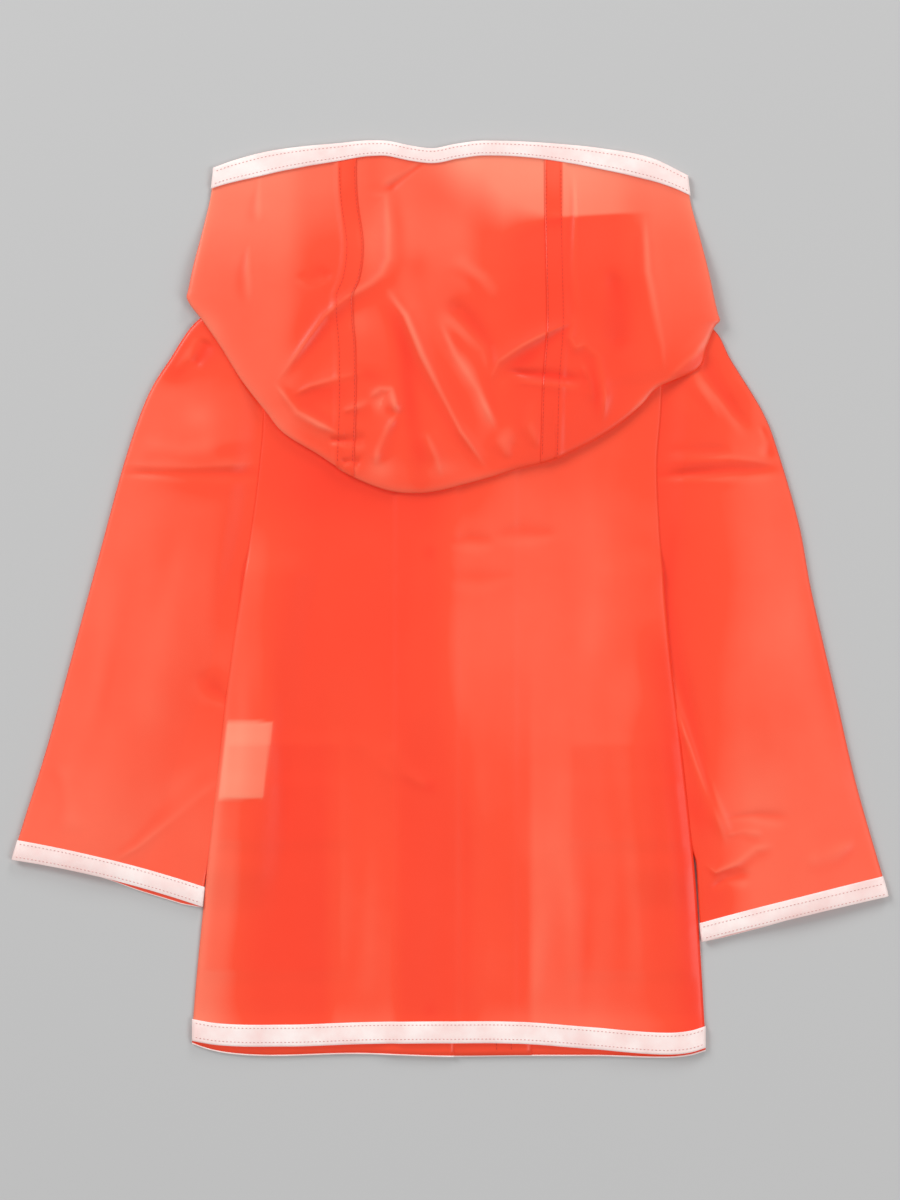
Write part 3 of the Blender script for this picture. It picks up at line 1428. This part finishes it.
    def centre_panel(self) -> Array:
        """Build the grid of the centre panel, between its two lapped edges.

        Returns:
            Points by row and column.
        """
        size = (230, 130)
        v, u = shares(*size)
        x, y = np.zeros(size), np.full(size, 200.0)
        for _ in range(8):
            left, right = self.seam_left(y) - self.lap, self.seam_right(y) + self.lap
            x = left + (right - left) * u
            y = self.low_edge(x) + (self.top_edge(x) - self.low_edge(x)) * v
        return points_at(x, y, self.top_height(x, y))

    def side_panel(self, left: bool) -> Array:
        """Build the grid of one side panel, from its fold to its lapped edge.

        Args:
            left: whether it is the left panel.

        Returns:
            Points by row and column.
        """
        fold, seam, lap, bottom = (self.fold_left, self.seam_left, self.lap, 97.0) if left else (
            self.fold_right, self.seam_right, -self.lap, 106.0)
        v, u = shares(210, 84)
        lower, rise = np.clip(v / 0.84, 0, 1), np.clip((v - 0.84) / 0.16, 0, 1)
        y = bottom + (300 - bottom) * lower + np.zeros_like(u)
        x = np.zeros_like(y)
        for _ in range(8):
            x = fold(y) + (seam(y) + lap - fold(y)) * u
            start = np.minimum(self.low_edge(x), bottom)
            level = start + (300 - start) * lower
            y = level + (self.top_edge(x) - level) * rise
        over = 0.75 * (1 - smooth(np.abs(x - seam(y)), self.lap + 0.5, self.lap + 5))
        grid = points_at(x, y, self.top_height(x, y) + over)
        return grid if left else grid[:, ::-1]

    def build(self) -> None:
        """Build the hood's pieces."""
        self.build_panels()
        self.build_under()
        self.build_tape()
        self.build_seams()

    def build_panels(self) -> None:
        """Build the centre and the two side panels."""
        cloth = self.finish.hood_cloth
        grid = self.centre_panel()
        piece = Piece("hood_cloth_centre", ("hood_centre",), "shell", cloth)
        made = piece.sheet(grid, self.tone(grid[..., 0], grid[..., 1]))
        for side in ("left", "right"):
            grid = self.side_panel(side == "left")
            piece = Piece(f"hood_cloth_{side}", (f"hood_side_{side}",), "shell", cloth)
            made = piece.sheet(grid, self.tone(grid[..., 0], grid[..., 1]))

    def build_under(self) -> None:
        """Build the hood's lower layer, down the back and up to the chin."""
        size = (90, 100)
        v, u = shares(*size)
        low, high, curved, inside = 96, 288, 0.15, 3
        y = low + (high - low) * v + np.zeros_like(u)
        left = self.fold_left(np.maximum(y, 104)) + inside
        right = self.fold_right(np.maximum(y, 110)) - inside
        x = left + (right - left) * u
        edge = np.maximum(self.low_edge(x) + inside, 60)
        straight = low + (high - low) * curved
        y = np.where(v < curved, edge * (1 - v / curved) + straight * v / curved, y)
        onto = 1.0 - smooth(y, 240, 284)
        z = 0.6 + 5.2 * onto + ripple(x, y, 9.0) * 0.3 * onto
        piece = Piece("hood_cloth_under", ("hood_under",), "shell", self.finish.cloth)
        made = piece.sheet(points_at(x, y, z), np.full(size, -0.1))

    def along_tape(self, x: Array, down: float) -> tuple[Array, Array]:
        """Return a line along the tape on the face opening's edge.

        Args:
            x: places across the jacket, in mm.
            down: how far below the edge, as a share of the tape's width.

        Returns:
            Places across and along the jacket, in mm.
        """
        top = self.top_edge(x)
        slope = np.gradient(top, x)
        length = np.hypot(slope, 1.0)
        wide = self.tape_width * (0.66 + 0.34 * smooth(np.abs(x), 40, 150)) * down
        inside = 1.0 - smooth(np.abs(x), 140, 176)
        lean = slope / length * inside + np.sign(x) * 0.11 * (1.0 - inside)
        return x + lean * wide, top - wide / length

    def build_tape(self) -> None:
        """Build the tape bound over the face opening's edge, with its stitches."""
        x = np.linspace(-177.5, 178.5, 190)
        top = self.top_edge(x)
        rows = []
        profile = ((1.0, 0.75), (0.93, 0.95), (0.5, 1.0), (0.1, 0.95), (0.0, 0.7), (-0.06, 0.1),
                   (0.0, -0.55), (0.1, -0.75), (0.95, -0.75))
        for down, rise in profile:
            px, py = self.along_tape(x, down)
            high = self.top_height(px, np.minimum(py, top - 0.5)) + rise + (0.5 if rise > 0 else 0.0)
            rows.append(points_at(px, py, np.maximum(high, 0.2)))
        piece = Piece("tape_hood_edge", ("hood_tape",), "tape", self.finish.tape)
        made = piece.sheet(np.array(rows[::-1]), thick=0.3)
        lines = [points_at(px, py, self.top_height(px, py) + 1.5)
                 for px, py in (self.along_tape(x, down) for down in (0.17, 0.8))]
        StitchRow().sew(Piece("stitches_hood_edge", (), "tape", self.finish.pale_thread), lines, 0.12)

    def build_seams(self) -> None:
        """Build the double rows of stitches on the two lapped seams."""
        lines = []
        for seam, low, high in ((self.seam_left, 101, 326), (self.seam_right, 106, 325)):
            y = np.linspace(low, high, 160)
            for off in (-self.lap + 1.0, self.lap - 1.0):
                x = seam(y) + off
                lines.append(points_at(x, y, self.top_height(x, y) + 0.75))
        StitchRow(pitch=3.0, long=2.2, thick=0.22).sew(
            Piece("stitches_hood_seams", (), "shell", self.finish.red_thread), lines, 0.25)


# ---------------------------------------------------------------- the studio


@dataclass
class Studio:
    """Floor, lights and camera."""

    height: float = 2.6
    view_height: float = 0.9
    sky: float = 0.42
    floor_reach: float = 6000.0
    floor_level: float = -0.4

    def build(self) -> None:
        """Build the studio."""
        self.build_floor()
        self.build_lights()
        self.build_camera()

    def build_floor(self) -> None:
        """Build a wide plain floor just under the jacket."""
        corners = ((-1, -1), (1, -1), (1, 1), (-1, 1))
        points = [(x * self.floor_reach, y * self.floor_reach, self.floor_level) for x, y in corners]
        floor = lay_mesh("floor", np.array(points), [(0, 1, 2, 3)], None)
        floor.data.materials.append(PaleFloor().make())

    def build_lights(self) -> None:
        """Build soft area lights and an even pale sky."""
        world = bpy.data.worlds.new("studio")
        world.use_nodes = True
        background = world.node_tree.nodes["Background"]
        background.inputs["Color"].default_value = (1.0, 1.0, 1.0, 1.0)
        background.inputs["Strength"].default_value = self.sky
        bpy.context.scene.world = world
        for name, place, power, size in (
            ("key", (-3.4, 3.0, 2.6), 158.0, 2.3),
            ("fill", (3.6, -1.4, 3.4), 82.0, 2.4),
            ("rim", (1.4, 4.2, 1.7), 60.0, 1.2),
        ):
            lamp = bpy.data.lights.new(name, "AREA")
            lamp.energy = power
            lamp.size = size
            made = bpy.data.objects.new(name, lamp)
            made.location = place
            made.rotation_euler = (-Vector(place)).to_track_quat("-Z", "Y").to_euler()
            bpy.context.scene.collection.objects.link(made)

    def build_camera(self) -> None:
        """Build a camera straight above, with the hood towards the top of the view."""
        lens = bpy.data.cameras.new("camera")
        lens.sensor_width = 36.0
        lens.lens = lens.sensor_width * self.height / self.view_height
        made = bpy.data.objects.new("camera", lens)
        made.location = (0.0, 0.0, self.height)
        bpy.context.scene.collection.objects.link(made)
        bpy.context.scene.camera = made
        bpy.context.scene.view_settings.view_transform = "Standard"


def main() -> None:
    """Build the jacket and the studio."""
    logging.basicConfig(level=logging.INFO, format="%(message)s")
    finish = Finishes()
    shape = BodyShape()
    Body(shape, finish).build()
    Sleeve("left", shape, finish, LEFT_SLEEVE_OUTER, LEFT_SLEEVE_INNER, LEFT_SLEEVE_FOLDS,
           LEFT_SLEEVE_PATCHES, peek=3.3, bow=3.6, wave=4.0).build()
    Sleeve("right", shape, finish, RIGHT_SLEEVE_OUTER, RIGHT_SLEEVE_INNER, RIGHT_SLEEVE_FOLDS,
           RIGHT_SLEEVE_PATCHES, peek=1.1, bow=0.8, wave=7.0).build()
    Hood(finish).build()
    Studio().build()


if __name__ == "__main__":
    main()
